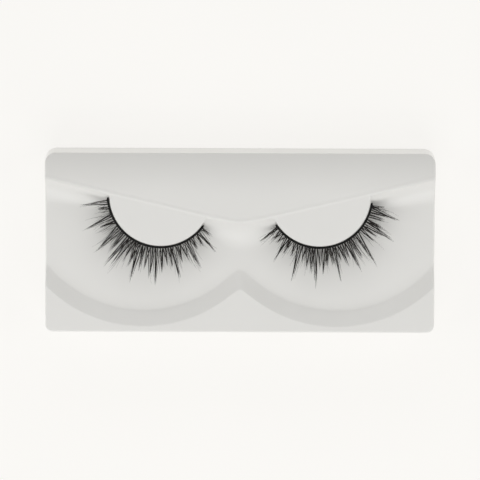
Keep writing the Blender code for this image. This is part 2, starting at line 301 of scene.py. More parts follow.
def new_material(name: str) -> tuple[bpy.types.Material, NodeSheet, bpy.types.Node]:
    """Start a material.

    Args:
        name: The material's name.

    Returns:
        The material, its sheet of nodes and its shader.
    """
    material = bpy.data.materials.new(name)
    material.use_nodes = True
    sheet = NodeSheet(material.node_tree)
    return material, sheet, material.node_tree.nodes["Principled BSDF"]


@dataclass(frozen=True)
class SheetFinish:
    """White polystyrene sheet, satin on its face, with painted shade that greys it towards its back edge.
    """

    sheet_white: Colour = (0.86, 0.853, 0.825)
    # Grey for random tone patches and for the painted shade that darkens the sheet towards its back edge.
    grey_tone_and_painted_shade: Colour = (0.765, 0.758, 0.733)
    roughness: tuple[float, float] = (0.30, 0.38)
    grain_per_metre: float = 1800.0
    grain_depth: float = 0.02 * MM

    def build(self, effects: Effects) -> bpy.types.Material:
        """Build the material.

        Args:
            effects: The shared node groups.

        Returns:
            The sheet's material.
        """
        material, sheet, shader = new_material("white_formed_sheet")
        # The "drawn" attribute holds the share of painted shade, which greys the sheet towards its back
        # edge as shade would; the drift below adds random tone.
        drawn = sheet.add("ShaderNodeAttribute", attribute_name="drawn").outputs["Fac"]
        cloud = sheet.group(effects.drift, {"Patches Per Metre": 45.0, "Low": -0.08, "High": 0.08})
        share = sheet.math("ADD", drawn, cloud.outputs["Value"])
        colour = sheet.blend(share, self.sheet_white, self.grey_tone_and_painted_shade)
        sheen = sheet.group(
            effects.drift,
            {"Patches Per Metre": 110.0, "Low": self.roughness[0], "High": self.roughness[1]},
        )
        scuffs = sheet.group(effects.marks, {"Marks Per Metre": 22.0, "Reach": 0.004})
        rough = sheet.math("MULTIPLY", scuffs.outputs["Mask"], 0.08)
        grain = sheet.group(effects.grain, {"Grain Per Metre": self.grain_per_metre, "Swell": 0.9})
        bump = sheet.add(
            "ShaderNodeBump",
            {"Strength": 0.25, "Distance": self.grain_depth, "Height": grain.outputs["Height"]},
        )
        sheet.fill(
            shader,
            {
                "Base Color": colour,
                "Roughness": sheet.math("ADD", sheen.outputs["Value"], rough),
                "Normal": bump.outputs["Normal"],
                "IOR": 1.5,
            },
        )
        return material


@dataclass(frozen=True)
class ThreadFinish:
    """Black cotton thread stiffened with wax and glue."""

    dark: Colour = (0.004, 0.004, 0.004)
    worn: Colour = (0.012, 0.0115, 0.011)

    def build(self, effects: Effects) -> bpy.types.Material:
        """Build the material.

        Args:
            effects: The shared node groups.

        Returns:
            The thread's material.
        """
        material, sheet, shader = new_material("black_waxed_thread")
        cloud = sheet.group(effects.drift, {"Patches Per Metre": 900.0, "Low": 0.0, "High": 1.0})
        sheen = sheet.group(effects.drift, {"Patches Per Metre": 1700.0, "Low": 0.42, "High": 0.68})
        fuzz = sheet.group(effects.grain, {"Grain Per Metre": 14000.0, "Swell": 0.5})
        bump = sheet.add(
            "ShaderNodeBump",
            {"Strength": 0.5, "Distance": 0.03 * MM, "Height": fuzz.outputs["Height"]},
        )
        sheet.fill(
            shader,
            {
                "Base Color": sheet.blend(cloud.outputs["Value"], self.dark, self.worn),
                "Roughness": sheen.outputs["Value"],
                "Specular IOR Level": 0.2,
                "Normal": bump.outputs["Normal"],
            },
        )
        return material


@dataclass(frozen=True)
class FibreFinish:
    """Black satin fibre whose hairs differ a little in tone and taper to a soft brown tip."""

    root: Colour = (0.006, 0.0055, 0.005)
    tip: Colour = (0.045, 0.038, 0.033)
    stray: Colour = (0.030, 0.024, 0.020)

    def build(self, effects: Effects) -> bpy.types.Material:
        """Build the material.

        Args:
            effects: The shared node groups.

        Returns:
            The fibre's material.
        """
        material, sheet, shader = new_material("black_satin_fibre")
        place = sheet.add("ShaderNodeUVMap", uv_map="strand")
        parts = sheet.add("ShaderNodeSeparateXYZ", {0: place.outputs["UV"]})
        along = sheet.math("POWER", parts.outputs["Y"], 2.2)
        base = sheet.blend(parts.outputs["X"], self.root, self.stray)
        colour = sheet.blend(along, base, self.tip)
        sheen = sheet.group(effects.drift, {"Patches Per Metre": 500.0, "Low": 0.36, "High": 0.55})
        streak = sheet.group(effects.grain, {"Grain Per Metre": 22000.0, "Swell": 0.4})
        bump = sheet.add(
            "ShaderNodeBump",
            {"Strength": 0.3, "Distance": 0.01 * MM, "Height": streak.outputs["Height"]},
        )
        sheet.fill(
            shader,
            {
                "Base Color": colour,
                "Roughness": sheen.outputs["Value"],
                "Specular IOR Level": 0.25,
                "Normal": bump.outputs["Normal"],
            },
        )
        return material


@dataclass(frozen=True)
class FloorFinish:
    """Pale matt paper under the tray."""

    colour: Colour = (0.20, 0.199, 0.195)
    shade: Colour = (0.19, 0.189, 0.185)
    glow: Colour = (1.0, 0.985, 0.955)
    glow_strength: float = 0.787

    def build(self, effects: Effects) -> bpy.types.Material:
        """Build the material.

        Args:
            effects: The shared node groups.

        Returns:
            The floor's material.
        """
        material, sheet, shader = new_material("pale_paper")
        cloud = sheet.group(effects.drift, {"Patches Per Metre": 12.0, "Low": 0.0, "High": 1.0})
        tooth = sheet.group(effects.grain, {"Grain Per Metre": 900.0, "Swell": 0.2})
        bump = sheet.add(
            "ShaderNodeBump",
            {"Strength": 0.05, "Distance": 0.05 * MM, "Height": tooth.outputs["Height"]},
        )
        sheet.fill(
            shader,
            {
                "Base Color": sheet.blend(cloud.outputs["Value"], self.colour, self.shade),
                "Roughness": 0.9,
                "Specular IOR Level": 0.1,
                "Emission Color": (*self.glow, 1.0),
                "Emission Strength": self.glow_strength,
                "Normal": bump.outputs["Normal"],
            },
        )
        return material


@dataclass(frozen=True)
class WallStep:
    """A level of a wall's section: its shares of the wall's run and drop, and its rounding."""

    run: float
    drop: float
    rounding: float


@dataclass(frozen=True)
class Lobe:
    """The edge of the half-moon lobe that a strip is wrapped round, on the right-hand side."""

    x: float = 0.4075 * HALF_LENGTH
    y: float = 0.535 * HALF_WIDTH
    radius: float = 13.85 * MM
    outer_angle: float = math.radians(0.5)
    inner_angle: float = math.radians(-154.0)

    def point(self, radius: float, angle: float) -> Vector:
        """Return the point at this radius and angle about the lobe, at height zero."""
        return Vector((self.x + radius * math.cos(angle), self.y + radius * math.sin(angle), 0.0))


@dataclass
class TrayShell:
    """The formed sheet, lofted in rows that follow the lines of its relief.

    Attributes:
        lobe: The edge of the half-moon lobe.
        half_length: Half the face's length.
        half_width: Half the face's width.
        sheet: The sheet's thickness.
        back_corner: The radius of the face's corners at the back.
        front_corner: Their radius at the front.
        edge_round: The radius of the edge where the face turns down.
        draft: The lean of the side wall.
        floor_height: The height of the well's floor.
        ledge_height: The height of the ledge in front of the well.
        crest_height: The height of the plateau behind it, at its highest.
        back_fall: How far the plateau falls to its back edge.
        back_fall_reach: Over which distance from that edge it falls.
        lobe_fall: How far the lobe's edge sags below its head.
        bead_height: The height of the crease across the lobe's head.
        bead_half_width: Half the crease's width.
        bead_rounding: How far from its lines the crease is rounded.
        lobe_end_rounding: How far from the lobe's ends the walls are rounded.
        lobe_wall_run: How far the wall under the lobe's edge runs out.
        side_wall_run: How far the wall behind the well runs out at the tray's side.
        outer_pocket_run: Its run where it meets the lobe's outer end.
        inner_pocket_run: Its run where it meets the lobe's inner end.
        middle_wall_run: Its run in the tray's middle.
        pocket_spread: The stretch of the lobe's edge that the pockets take up.
        shoulder_strip: The distance from the lobe's head to the crease.
        front_wall_run: How far the well's front wall runs out.
        crest_cusp: How blunt the cusp between the bows is at its crest.
        floor_cusp: How blunt it is at the floor.
        side_columns: The columns of the loft beside the lobe.
        lobe_columns: Its columns round the lobe.
        middle_columns: Its columns between the lobes.
        corner_steps: The steps of half a corner.
        painted_shade_reach: How far from the back edge the painted shade reaches.
        painted_shade_ease: How late the painted shade sets in, as a power.
        painted_shade_on_walls: The share of the painted shade that steep walls take.
    """

    lobe: Lobe
    half_length: float = HALF_LENGTH
    half_width: float = HALF_WIDTH
    sheet: float = 0.8 * MM
    back_corner: float = 2.8 * MM
    front_corner: float = 2.1 * MM
    edge_round: float = 0.42 * MM
    draft: float = math.radians(1.5)
    floor_height: float = 8.6 * MM
    ledge_height: float = 11.5 * MM
    crest_height: float = 12.2 * MM
    back_fall: float = 2.0 * MM
    back_fall_reach: float = 10.0 * MM
    lobe_fall: float = 0.45 * MM
    bead_height: float = 0.12 * MM
    bead_half_width: float = 0.55 * MM
    bead_rounding: float = 0.25 * MM
    lobe_end_rounding: float = 0.6 * MM
    lobe_wall_run: float = 0.6 * MM
    side_wall_run: float = 7.5 * MM
    outer_pocket_run: float = 5.0 * MM
    inner_pocket_run: float = 5.4 * MM
    middle_wall_run: float = 8.4 * MM
    pocket_spread: float = math.radians(40.0)
    shoulder_strip: float = 0.62 * MM
    front_wall_run: float = 4.3 * MM
    crest_cusp: float = 0.8 * MM
    floor_cusp: float = 1.5 * MM
    side_columns: int = 10
    lobe_columns: int = 56
    middle_columns: int = 12
    corner_steps: int = 5
    painted_shade_reach: float = 12.0 * MM
    painted_shade_ease: float = 1.4
    painted_shade_on_walls: float = 0.3

    EDGE_TURNS = (18.0, 36.0, 54.0, 72.0, 90.0)
    SIDE_LEVELS = (0.3, 0.65, 1.0)
    SHOULDER_AT_SIDE = 0.715
    SHOULDER_AT_MIDDLE = 0.222
    BOW_LOWEST = (0.498, -0.9306)
    BOW_MIDDLE = -0.4857
    BACK_WALL = (
        WallStep(0.0, 0.0, 0.45 * MM),
        WallStep(0.20, 0.38, 2.0 * MM),
        WallStep(0.44, 0.70, 2.0 * MM),
        WallStep(0.72, 0.92, 2.0 * MM),
        WallStep(1.0, 1.0, 2.0 * MM),
    )
    FRONT_WALL = (
        WallStep(0.0, 0.0, 0.25 * MM),
        WallStep(0.72, 0.80, 3.0 * MM),
        WallStep(0.88, 0.96, 3.0 * MM),
        WallStep(1.0, 1.0, 1.0 * MM),
    )

    def plateau_height(self, y: float) -> float:
        """Return the back plateau's height, which falls away towards the back edge."""
        room = max(0.0, 1.0 - (self.half_width - y) / self.back_fall_reach)
        return self.crest_height - self.back_fall * room**2

    @staticmethod
    def plan_normals(row: Row, side: float) -> Row:
        """Find the level directions square to a row.

        Args:
            row: The points of the row.
            side: One if the high side is towards the back, minus one if towards the front.

        Returns:
            For each point, the direction towards the high side.
        """
        normals = [Vector((0.0, side, 0.0))]
        for before, after in zip(row, row[2:]):
            along = Vector((after.x - before.x, after.y - before.y, 0.0)).normalized()
            normals.append(Vector((along.y, -along.x, 0.0)) * side)
        normals.append(Vector((0.0, side, 0.0)))
        return normals

    def move_under(self, rows: list[Row], side: float, inset: float) -> list[Row]:
        """Move a wall's rows square to its skin.

        Args:
            rows: The rows, from the wall's top to its foot.
            side: One for the wall behind the well, minus one for the one in front of it.
            inset: How far to move them.

        Returns:
            The moved rows.
        """
        normals = [self.plan_normals(row, side) for row in rows]
        moved: list[Row] = [[] for _ in rows]
        for k in range(len(rows[0])):
            slopes = [0.0]
            for upper, lower, normal in zip(rows, rows[1:], normals):
                run = (upper[k] - lower[k]).dot(normal[k])
                slopes.append(math.atan2(upper[k].z - lower[k].z, run))
            slopes.append(0.0)
            for number, (before, after) in enumerate(zip(slopes, slopes[1:])):
                mean = (before + after) / 2
                reach = inset / math.cos((after - before) / 2)
                point = rows[number][k] + normals[number][k] * (reach * math.sin(mean))
                point.z -= reach * math.cos(mean)
                moved[number].append(point)
        return moved

    def shoulder_row(self, trim: float) -> Row:
        """Find the top line of the wall behind the well, from the side edge to the middle.

        Args:
            trim: How far the outline is drawn in.

        Returns:
            The line, column by column.
        """
        edge = Vector((self.half_length - trim, self.SHOULDER_AT_SIDE * self.half_width, 0.0))
        outer = self.lobe.point(self.lobe.radius, self.lobe.outer_angle)
        inner = self.lobe.point(self.lobe.radius, self.lobe.inner_angle)
        middle_y = self.SHOULDER_AT_MIDDLE * self.half_width
        row = [edge.lerp(outer, k / self.side_columns) for k in range(self.side_columns)]
        for k in range(self.lobe_columns):
            share = k / self.lobe_columns
            angle = mix(self.lobe.outer_angle, self.lobe.inner_angle, share)
            row.append(self.lobe.point(self.lobe.radius, angle))
        for k in range(self.middle_columns + 1):
            share = 1.0 - k / self.middle_columns
            row.append(Vector((inner.x * share, mix(middle_y, inner.y, share**1.3), 0.0)))
        for k, point in enumerate(row):
            along = self.along_lobe(k)
            sag = self.lobe_fall * math.sin(math.pi * along) if 0.0 < along < 1.0 else 0.0
            point.z = self.plateau_height(point.y) - sag
        return row

    def along_lobe(self, column: int) -> float:
        """Return a column's place along the lobe, from 0 at its outer end to 1 at its inner."""
        return (column - self.side_columns) / self.lobe_columns

    def foot_angle(self, angle: float, first: float, last: float) -> float:
        """Find where on a lobe's foot the wall from its edge comes down.

        Args:
            angle: The place on the lobe's edge.
            first: The place on its foot of the outer pocket's end.
            last: The place on its foot of the inner pocket's end.

        Returns:
            The place on its foot, which stops short of the lobe's ends.
        """
        outer_end = self.lobe.outer_angle - self.pocket_spread
        inner_end = self.lobe.inner_angle + self.pocket_spread
        if angle > outer_end:
            return mix(first, outer_end, (self.lobe.outer_angle - angle) / self.pocket_spread)
        if angle < inner_end:
            return mix(last, inner_end, (angle - self.lobe.inner_angle) / self.pocket_spread)
        return angle

    def foot_row(self, shoulder: Row, trim: float) -> Row:
        """Find the line where the wall behind the well meets its floor.

        Args:
            shoulder: The wall's top line.
            trim: How far the outline is drawn in.

        Returns:
            The foot line, column by column.
        """
        outer = shoulder[self.side_columns]
        inner = shoulder[self.side_columns + self.lobe_columns]
        radius = self.lobe.radius + self.lobe_wall_run
        first = math.asin((outer.y - self.outer_pocket_run - self.lobe.y) / radius)
        last = -math.pi - math.asin((inner.y - self.inner_pocket_run - self.lobe.y) / radius)
        outer_foot = self.lobe.point(radius, first)
        inner_foot = self.lobe.point(radius, last)
        row = []
        for k in range(self.side_columns):
            share = k / self.side_columns
            run = mix(self.side_wall_run, self.outer_pocket_run, share)
            x = mix(self.half_length - trim, outer_foot.x, share)
            row.append(Vector((x, shoulder[k].y - run, 0.0)))
        for k in range(self.lobe_columns):
            share = k / self.lobe_columns
            angle = mix(self.lobe.outer_angle, self.lobe.inner_angle, share)
            row.append(self.lobe.point(radius, self.foot_angle(angle, first, last)))
        for k in range(self.middle_columns + 1):
            share = 1.0 - k / self.middle_columns
            top = shoulder[self.side_columns + self.lobe_columns + k]
            run = mix(self.middle_wall_run, self.inner_pocket_run, share**1.5)
            row.append(Vector((inner_foot.x * share, top.y - run, 0.0)))
        return row

    def back_wall_rows(self, shoulder: Row, foot: Row, inset: float) -> list[Row]:
        """Loft the wall behind the well.

        Args:
            shoulder: The wall's top line.
            foot: The line where it meets the floor.
            inset: The depth of the skin under the face.

        Returns:
            The rows of the wall, from its top to its foot.
        """
        rows = []
        for step in self.BACK_WALL:
            row = [top.lerp(low, step.run) for top, low in zip(shoulder, foot)]
            for point, top in zip(row, shoulder):
                point.z = mix(top.z, self.floor_height, step.drop)
            rows.append(row)
        return self.move_under(rows, 1.0, inset)

    def front_wall_rows(self, trim: float, inset: float) -> list[Row]:
        """Loft the well's front wall, whose two bows meet in a cusp.

        Args:
            trim: How far the outline is drawn in.
            inset: The depth of the skin under the face.

        Returns:
            The rows of the wall, from its crest to its foot.
        """
        centre_x = self.BOW_LOWEST[0] * self.half_length
        lowest = self.BOW_LOWEST[1] * self.half_width
        rise = self.BOW_MIDDLE * self.half_width - lowest
        crest_radius = (centre_x**2 + rise**2) / (2 * rise)
        centre_y = lowest + crest_radius
        columns = self.side_columns + self.lobe_columns + self.middle_columns
        rows = []
        for step in self.FRONT_WALL:
            radius = crest_radius - self.front_wall_run * step.run
            cusp = mix(self.crest_cusp, self.floor_cusp, step.run)
            first = math.asin((self.half_length - trim - centre_x) / radius)
            last = -math.asin(centre_x / radius)
            row = []
            for k in range(columns + 1):
                x = max(0.0, centre_x + radius * math.sin(mix(first, last, k / columns)))
                y = centre_y - math.sqrt(radius**2 - (math.hypot(x, cusp) - centre_x) ** 2)
                row.append(Vector((x, y, mix(self.ledge_height, self.floor_height, step.drop))))
            rows.append(row)
        return self.move_under(rows, -1.0, inset)

    def crease_row(self, shoulder: Row) -> Row:
        """Find the crease across the head of the lobe, a strip's width behind the shoulder.

        Args:
            shoulder: The top line of the wall behind the well.

        Returns:
            The crease, column by column.
        """
        outer = shoulder[self.side_columns]
        inner = shoulder[self.side_columns + self.lobe_columns]
        row = []
        for k, point in enumerate(shoulder):
            share = self.along_lobe(k)
            base = outer.lerp(inner, share) if 0.0 < share < 1.0 else point
            row.append(Vector((base.x, base.y + self.shoulder_strip, 0.0)))
        return row

    def corner_point(self, side: float, trim: float, turn: float) -> Vector:
        """Find a point of a rounded corner of the face.

        Args:
            side: One at the back, minus one at the front.
            trim: How far the outline is drawn in.
            turn: The angle from the tray's side towards its front or back edge.

        Returns:
            The point, at height zero.
        """
        corner = self.back_corner if side > 0 else self.front_corner
        x = self.half_length - corner + (corner - trim) * math.cos(turn)
        y = self.half_width - corner + (corner - trim) * math.sin(turn)
        return Vector((x, side * y, 0.0))

    def edge_rows(self, side: float, trim: float, inside: Row) -> list[Row]:
        """Loft the strip between the front or back edge and a row inside it.

        Args:
            side: One at the back, minus one at the front.
            trim: How far the outline is drawn in.
            inside: The row inside the edge.

        Returns:
            The rows, from the edge inwards, without the row inside.
        """
        steps = self.corner_steps
        turns = [math.pi / 4 * (1.0 + k / steps) for k in range(steps + 1)]
        edge = [self.corner_point(side, trim, turn) for turn in turns]
        last = edge[-1].x
        for point in inside[steps + 1 :]:
            edge.append(Vector((last * point.x / inside[steps].x, edge[-1].y, 0.0)))
        rows = [edge]
        for k in range(1, steps + 1):
            row = [a.lerp(b, k / (steps + 1)) for a, b in zip(edge, inside)]
            row[0] = self.corner_point(side, trim, math.pi / 4 * (1.0 - k / steps))
            rows.append(row)
        return rows

    def skin(self, trim: float, inset: float) -> np.ndarray:
        """Loft one skin of the whole tray.

        Args:
            trim: How far the outline is drawn in.
            inset: The depth of the skin under the face.

        Returns:
            The points, row by row from the front edge to the back edge, right to left.
        """
        shoulder = self.shoulder_row(trim)
        back_wall = self.back_wall_rows(shoulder, self.foot_row(shoulder, trim), inset)
        front_wall = self.front_wall_rows(trim, inset)
        crease = self.crease_row(back_wall[0])
        bead_front = [Vector((p.x, p.y - self.bead_half_width, 0.0)) for p in crease]
        bead_back = [Vector((p.x, p.y + self.bead_half_width, 0.0)) for p in crease]
        ledge = self.edge_rows(-1.0, trim, front_wall[0])
        plateau = self.edge_rows(1.0, trim, bead_back)
        near = [a.lerp(b, 0.5) for a, b in zip(bead_back, plateau[-1])]
        for row in ledge:
            for point in row:
                point.z = self.ledge_height - inset
        behind = [bead_front, crease, bead_back, near] + plateau[::-1]
        for row in behind:
            for point in row:
                point.z = self.plateau_height(point.y) - inset
        for point in crease:
            point.z += self.bead_height
        rows = ledge + front_wall + back_wall[::-1] + behind
        rounding = [0.0] * len(ledge)
        rounding += [step.rounding for step in self.FRONT_WALL]
        rounding += [step.rounding for step in self.BACK_WALL[::-1]]
        rounding += [self.bead_rounding] * 3 + [0.0] * (len(behind) - 3)
        half = np.array([[tuple(point) for point in row] for row in rows])
        half = self.round_lines(half, rounding)
        corners = [0.0] * half.shape[1]
        corners[self.side_columns] = self.lobe_end_rounding
        corners[self.side_columns + self.lobe_columns] = self.lobe_end_rounding
        half = self.round_lines(half.transpose(1, 0, 2), corners).transpose(1, 0, 2)
        mirrored = half[:, -2::-1].copy()
        mirrored[:, :, 0] *= -1.0
        return np.concatenate([half, mirrored], axis=1)

    @staticmethod
    def round_lines(lines: np.ndarray, rounding: list[float]) -> np.ndarray:
        """Round the corners of a grid along its first axis.

        Args:
            lines: A grid of points.
            rounding: For each line of it, how far from the line the rounding starts.

        Returns:
            The grid, with five lines in place of each rounded one.
        """
        made = [lines[0]]
        for k in range(1, len(lines) - 1):
            here = lines[k]
            if rounding[k] == 0.0:
                made.append(here)
                continue
            ends = []
            for other in (lines[k - 1], lines[k + 1]):
                run = other - here
                length = np.linalg.norm(run, axis=1, keepdims=True)
                ends.append(here + run * np.minimum(0.48, rounding[k] / np.maximum(length, 1e-9)))
            for turn in np.linspace(0.0, 1.0, 5):
                line = ends[0] * (1 - turn) ** 2 + here * (2 * turn * (1 - turn)) + ends[1] * turn**2
                made.append(line)
        made.append(lines[-1])
        return np.array(made)

    def outward(self, points: np.ndarray) -> np.ndarray:
        """Find the level directions out of the tray at points of its outline.

        Args:
            points: The points.

        Returns:
            A direction for each point.
        """
        corner = np.where(points[:, 1] > 0.0, self.back_corner, self.front_corner)
        room_x = np.maximum(0.0, np.abs(points[:, 0]) - (self.half_length - corner))
        room_y = np.maximum(0.0, np.abs(points[:, 1]) - (self.half_width - corner))
        x = np.sign(points[:, 0]) * room_x
        y = np.sign(points[:, 1]) * room_y
        return unit(np.stack([x, y, np.zeros(len(points))], axis=1))

    def edge_rings(self, loop: np.ndarray) -> list[np.ndarray]:
        """Round the face over its outline and carry it down the side wall.

        Args:
            loop: The points of the outer skin's outline.

        Returns:
            The rings of points below it, down to the trimmed rim.
        """
        out = self.outward(loop)
        rings = []
        for turn in np.radians(self.EDGE_TURNS):
            ring = loop + out * (self.edge_round * math.sin(turn))
            rings.append(ring - UP * (self.edge_round * (1.0 - math.cos(turn))))
        top = rings[-1]
        for share in self.SIDE_LEVELS:
            fall = top[:, 2:] * share
            rings.append(top + out * (fall * math.tan(self.draft)) - UP * fall)
        return rings

    def build(self) -> bpy.types.Object:
        """Build the shell's mesh.

        Returns:
            The shell.
        """
        face = self.skin(self.edge_round, 0.0)
        under = self.skin(self.sheet, self.sheet)
        rows, columns = face.shape[:2]
        numbers = np.arange(rows * columns).reshape(rows, columns)
        loop = self.outline(numbers)
        points = [face.reshape(-1, 3)]
        rings = self.edge_rings(points[0][loop])
        under_points = under.reshape(-1, 3)
        rim = under_points[loop].copy()
        rim += self.outward(rim) * (rim[:, 2:] * math.tan(self.draft))
        rim[:, 2] = 0.0
        rings.append(rim)
        faces = [self.quads(numbers[:-1, :-1], numbers[:-1, 1:], numbers[1:, 1:], numbers[1:, :-1])]
        count = rows * columns
        before = loop
        for ring in rings:
            points.append(ring)
            after = np.arange(count, count + len(loop))
            count += len(loop)
            faces.append(self.band(before, after))
            before = after
        points.append(under_points)
        numbers = numbers + count
        faces.append(self.band(before, self.outline(numbers)))
        faces.append(self.quads(numbers[:-1, :-1], numbers[1:, :-1], numbers[1:, 1:], numbers[:-1, 1:]))
        shell = new_piece("tray_shell", np.concatenate(points), np.concatenate(faces).tolist())
        self.mark_painted_shade(shell)
        shell.data.set_sharp_from_angle(angle=math.radians(38.0))
        weighted = shell.modifiers.new("Even shading", "WEIGHTED_NORMAL")
        weighted.keep_sharp = True
        return shell

    @staticmethod
    def outline(numbers: np.ndarray) -> np.ndarray:
        """Return the numbers round the outside of a grid, in order."""
        return np.concatenate([numbers[0], numbers[1:, -1], numbers[-1, -2::-1], numbers[-2:0:-1, 0]])

    @staticmethod
    def quads(a: np.ndarray, b: np.ndarray, c: np.ndarray, d: np.ndarray) -> np.ndarray:
        """Return four-sided faces with these corners."""
        return np.stack([a.ravel(), b.ravel(), c.ravel(), d.ravel()], axis=1)

    @staticmethod
    def band(upper: np.ndarray, lower: np.ndarray) -> np.ndarray:
        """Return the four-sided faces between two closed rings."""
        return np.stack([upper, lower, np.roll(lower, -1), np.roll(upper, -1)], axis=1)

    def mark_painted_shade(self, shell: bpy.types.Object) -> None:
        """Mark the share of painted shade, from 0 on the middle to 1 at the back edge.

        Args:
            shell: The shell.
        """
        mesh = shell.data
        read = {}
        for name in ("co", "normal"):
            values = np.empty(len(mesh.vertices) * 3, np.float32)
            mesh.vertices.foreach_get(name, values)
            read[name] = values.reshape(-1, 3)
        # Painted shade: the share grows towards the back edge and is largest on level faces, smaller on
        # steep walls; the "drawn" attribute stores it.
        level = np.abs(read["normal"][:, 2])
        room = 1.0 - (self.half_width - read["co"][:, 1]) / self.painted_shade_reach
        share = np.clip(room, 0.0, 1.0) ** self.painted_shade_ease * mix(self.painted_shade_on_walls, 1.0, level)
        drawn = mesh.attributes.new("drawn", "FLOAT", "POINT")
        drawn.data.foreach_set("value", share.astype(np.float32))

    def dress(self, shell: bpy.types.Object, material: bpy.types.Material) -> None:
        """Give the shell its finish and its place in the part.

        Args:
            shell: The shell.
            material: Its finish.
        """
        shell.data.materials.append(material)
        register(shell, Slot.TRAY_SHEET, "tray")


def new_piece(name: str, points: np.ndarray, faces: list) -> bpy.types.Object:
    """Make a smooth-shaded mesh object.

    Args:
        name: Its name.
        points: Its points, in metres.
        faces: For each face, the numbers of its corners.

    Returns:
        The object, linked to the scene.
    """
    mesh = bpy.data.meshes.new(name)
    mesh.from_pydata(points.tolist(), [], faces)
    mesh.validate()
    mesh.shade_smooth()
    piece = bpy.data.objects.new(name, mesh)
    bpy.context.scene.collection.objects.link(piece)
    return piece


def register(piece: bpy.types.Object, slot: Slot, *nodes: str) -> None:
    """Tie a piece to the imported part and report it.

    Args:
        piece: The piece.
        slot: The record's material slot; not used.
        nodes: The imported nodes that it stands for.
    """
    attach(piece, BODY)
    if nodes:
        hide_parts(*nodes)
    LOG.info("%s: %d faces", piece.name, len(piece.data.polygons))


class TubeBundle:
    """Tapered tubes that are gathered into one mesh."""

    def __init__(self, sides: int) -> None:
        """Start with no tubes.

        Args:
            sides: The number of sides of each tube.
        """
        self.sides = sides
        self.points: list[np.ndarray] = []
        self.faces: list[list[int]] = []
        self.marks: list[np.ndarray] = []
        self.count = 0

    def add(self, line: np.ndarray, radii: np.ndarray, tone: float = 0.0) -> None:
        """Add a tube with closed ends.

        Args:
            line: The points that it follows.
            radii: Its radius at each point.
            tone: A number from 0 to 1 that its finish may use.
        """
        along = unit(np.gradient(line, axis=0))
        across = unit(np.cross(along, UP))
        over = np.cross(across, along)
        turns = np.linspace(0.0, 2 * math.pi, self.sides, endpoint=False)
        spokes = across[:, None] * np.cos(turns)[None, :, None]
        spokes = spokes + over[:, None] * np.sin(turns)[None, :, None]
        rings = line[:, None] + spokes * radii[:, None, None]
        numbers = np.arange(len(line) * self.sides).reshape(len(line), self.sides) + self.count
        after = np.roll(numbers, -1, axis=1)
        walls = np.stack([numbers[:-1], after[:-1], after[1:], numbers[1:]], axis=-1)
        self.faces += walls.reshape(-1, 4).tolist()
        self.faces.append(numbers[0, ::-1].tolist())
        self.faces.append(numbers[-1].tolist())
        self.points.append(rings.reshape(-1, 3))
        share = np.repeat(np.linspace(0.0, 1.0, len(line)), self.sides)
        self.marks.append(np.stack([np.full(len(share), tone), share], axis=1))
        self.count += numbers.size

    def build(self, name: str) -> bpy.types.Object:
        """Turn the tubes into one piece, with each tube's tone and length as its UV map.

        Args:
            name: The piece's name.

        Returns:
            The piece.
        """
        piece = new_piece(name, np.concatenate(self.points), self.faces)
        mesh = piece.data
        corners = np.empty(len(mesh.loops), np.int32)
        mesh.loops.foreach_get("vertex_index", corners)
        layer = mesh.uv_layers.new(name="strand")
        layer.uv.foreach_set("vector", np.concatenate(self.marks)[corners].astype(np.float32).ravel())
        return piece


@dataclass(frozen=True)
class Lock:
    """A spike of the fringe: its place along the band, its lean in degrees and its length."""

    place: float
    lean: float
    length: float


LEFT_LOCKS = (
    Lock(0.035, -1.6, 0.72),
    Lock(0.088, -15.0, 0.36),
    Lock(0.155, -1.0, 0.77),
    Lock(0.204, -13.0, 0.48),
    Lock(0.259, 5.0, 0.83),
    Lock(0.309, 4.0, 0.59),
    Lock(0.362, -8.0, 0.96),
    Lock(0.387, -7.0, 0.86),
    Lock(0.411, -3.0, 0.60),
    Lock(0.434, 4.0, 0.66),
    Lock(0.459, 7.0, 1.00),
    Lock(0.486, 8.0, 0.64),
    Lock(0.518, 4.5, 0.62),
    Lock(0.552, 3.3, 0.76),
    Lock(0.590, 0.6, 0.95),
    Lock(0.620, 0.2, 0.66),
    Lock(0.650, 3.0, 0.49),
    Lock(0.680, 1.0, 0.59),
    Lock(0.710, -0.7, 0.86),
    Lock(0.748, -4.0, 0.52),
    Lock(0.783, -2.6, 0.49),
    Lock(0.816, 1.9, 0.80),
    Lock(0.854, 4.0, 0.34),
    Lock(0.908, -10.0, 0.40),
    Lock(0.936, -2.0, 0.70),
    Lock(0.968, 9.0, 0.27),
)
RIGHT_LOCKS = (
    Lock(0.024, -6.5, 0.38),
    Lock(0.056, 4.5, 0.75),
    Lock(0.105, -3.5, 0.48),
    Lock(0.142, 1.7, 0.52),
    Lock(0.169, 0.5, 0.87),
    Lock(0.210, -5.7, 0.50),
    Lock(0.243, -5.3, 0.53),
    Lock(0.275, 12.0, 0.95),
    Lock(0.340, 0.6, 0.62),
    Lock(0.371, 4.4, 0.85),
    Lock(0.401, 7.0, 0.48),
    Lock(0.438, -3.0, 0.61),
    Lock(0.462, -1.8, 0.44),
    Lock(0.486, 2.0, 0.91),
    Lock(0.510, 2.0, 0.46),
    Lock(0.534, 9.0, 0.56),
    Lock(0.558, 7.9, 0.74),
    Lock(0.592, 0.8, 0.56),
    Lock(0.621, -2.0, 0.96),
    Lock(0.652, -3.8, 0.66),
    Lock(0.680, -7.0, 0.58),
    Lock(0.706, 1.0, 0.45),
    Lock(0.746, -6.5, 0.92),
    Lock(0.778, -3.0, 0.41),
    Lock(0.822, 3.0, 0.42),
    Lock(0.850, -1.0, 0.68),
    Lock(0.890, 6.0, 0.31),
    Lock(0.923, 5.6, 0.32),
    Lock(0.963, 5.1, 0.64),
)


